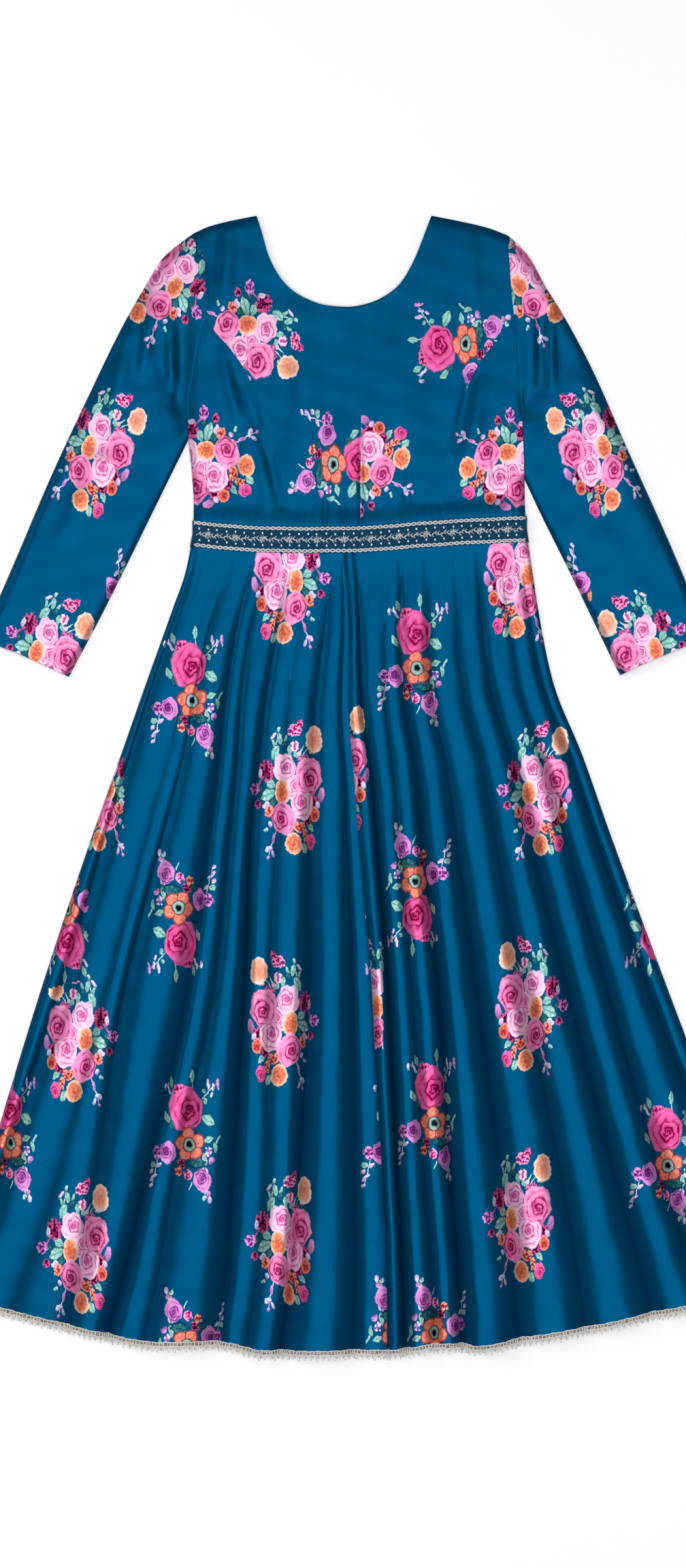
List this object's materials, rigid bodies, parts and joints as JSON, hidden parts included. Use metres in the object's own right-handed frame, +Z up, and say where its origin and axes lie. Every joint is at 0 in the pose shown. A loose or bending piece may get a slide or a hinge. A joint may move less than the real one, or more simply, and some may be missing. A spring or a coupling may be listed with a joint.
{
  "type": "anarkali gown",
  "caption": "Long-sleeved anarkali gown lying flat: princess bodice with a scoop neck, embroidered belt, flared skirt in folds and a hem braid.",
  "frame": {"origin": "on the surface the gown lies on, under the middle of the whole gown", "axes": "+X across the gown to the viewer's right, +Y from the hem up to the neck, +Z up from the surface through the cloth"},
  "size_m": [1.0336, 1.4224, 0.0203],
  "materials": {
    "satin": "teal satin with an ordinary watercolour flower print",
    "embroidery": "navy ground with silver thread sprigs and corded edges",
    "braid": "champagne-silver zari braid"
  },
  "bodies": {
    "root": {"bodice_back": "satin", "bodice_front_centre": "satin", "bodice_front_side_left": "satin", "bodice_front_side_right": "satin", "sleeve_left": "satin", "sleeve_right": "satin", "skirt_back": "satin", "skirt_front_left": "satin", "skirt_front_right": "satin", "hem_trim_front": "braid", "hem_trim_back": "braid", "belt": "embroidery"}
  },
  "joints": []
}
